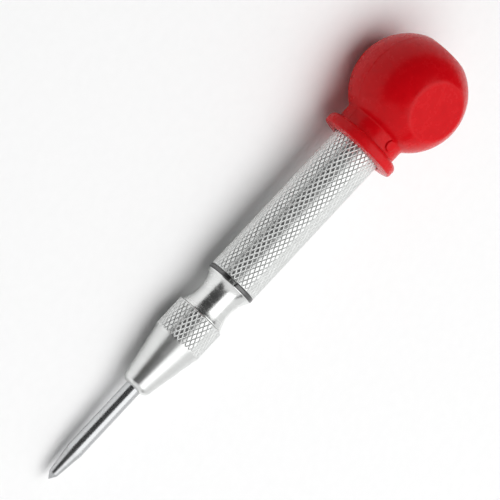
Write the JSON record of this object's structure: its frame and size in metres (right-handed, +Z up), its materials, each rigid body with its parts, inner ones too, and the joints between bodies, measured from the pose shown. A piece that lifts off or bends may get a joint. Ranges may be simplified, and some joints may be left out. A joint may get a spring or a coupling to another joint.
{
  "type": "automatic centre punch",
  "caption": "Automatic centre punch lying on its side: steel pin, tapered nose, waisted neck, knurled barrel and a ball-shaped adjusting cap, with the spring-driven striking mechanism inside.",
  "frame": {"origin": "on the bench, under the centre of the tool's bounding box; the tool lies on its side, on the rim of the cap's lower side flat and on the knurled band of the nose", "axes": "+Z up; +X along the bench from the cap towards the point; the tool's own axis drops 4.4 degrees towards the point, along (0.9970, 0, -0.0774)"},
  "size_m": [0.1375, 0.0288, 0.0253],
  "materials": {
    "chromed_steel": "bright chrome plate on hardened steel",
    "nose_aluminium": "turned and polished cone, diamond-knurled band",
    "turned_aluminium": "fine-turned, bright",
    "knurled_aluminium": "bright diamond knurl",
    "blackened_steel": "black oxide, satin",
    "ground_steel": "ground and hardened",
    "spring_steel": "drawn wire",
    "brass": "turned",
    "red_plastic": "moulded, semi-gloss"
  },
  "bodies": {
    "tool_body": {"barrel": "knurled_aluminium", "neck": "turned_aluminium", "nose_cone": "nose_aluminium", "split_ring": "blackened_steel", "return_spring": "spring_steel", "main_spring": "spring_steel"},
    "punch": {"punch_pin": "chromed_steel"},
    "stem": {"trip_stem": "ground_steel"},
    "striker": {"hammer": "ground_steel"},
    "seat": {"spring_seat": "ground_steel"},
    "cap": {"grip_cap": "red_plastic", "adjusting_screw": "brass"}
  },
  "joints": [
    {"name": "punch_slide", "type": "slide", "parent": "tool_body", "child": "punch", "axis": [-0.997, 0, 0.0774], "range_m": [0, 0.01], "stiffness_N_per_m": 1460, "deforming": ["return_spring"]},
    {"name": "stem_lean", "type": "hinge", "parent": "punch", "child": "stem", "pos_m": [0.03161, 0, 0.00595], "axis": [0, 1, 0], "range_deg": [0, 1.33]},
    {"name": "hammer_slide", "type": "slide", "parent": "tool_body", "child": "striker", "axis": [-0.997, 0, 0.0774], "range_m": [0, 0.01], "stiffness_N_per_m": 12000, "deforming": ["main_spring"]},
    {"name": "seat_advance", "type": "slide", "parent": "tool_body", "child": "seat", "axis": [0.997, 0, -0.0774], "range_m": [-0.00301, 0.00301], "deforming": ["main_spring"]},
    {"name": "cap_turn", "type": "hinge", "parent": "seat", "child": "cap", "pos_m": [-0.05493, 0, 0.01267], "axis": [0.997, 0, -0.0774], "range_deg": [-1080, 1080]}
  ],
  "couplings": [
    {"joint": "hammer_slide", "follows": "punch_slide", "ratio": 1},
    {"joint": "stem_lean", "follows": "punch_slide", "rad_per_m": 2.303},
    {"joint": "seat_advance", "follows": "cap_turn", "m_per_rad": 0.00015915}
  ]
}
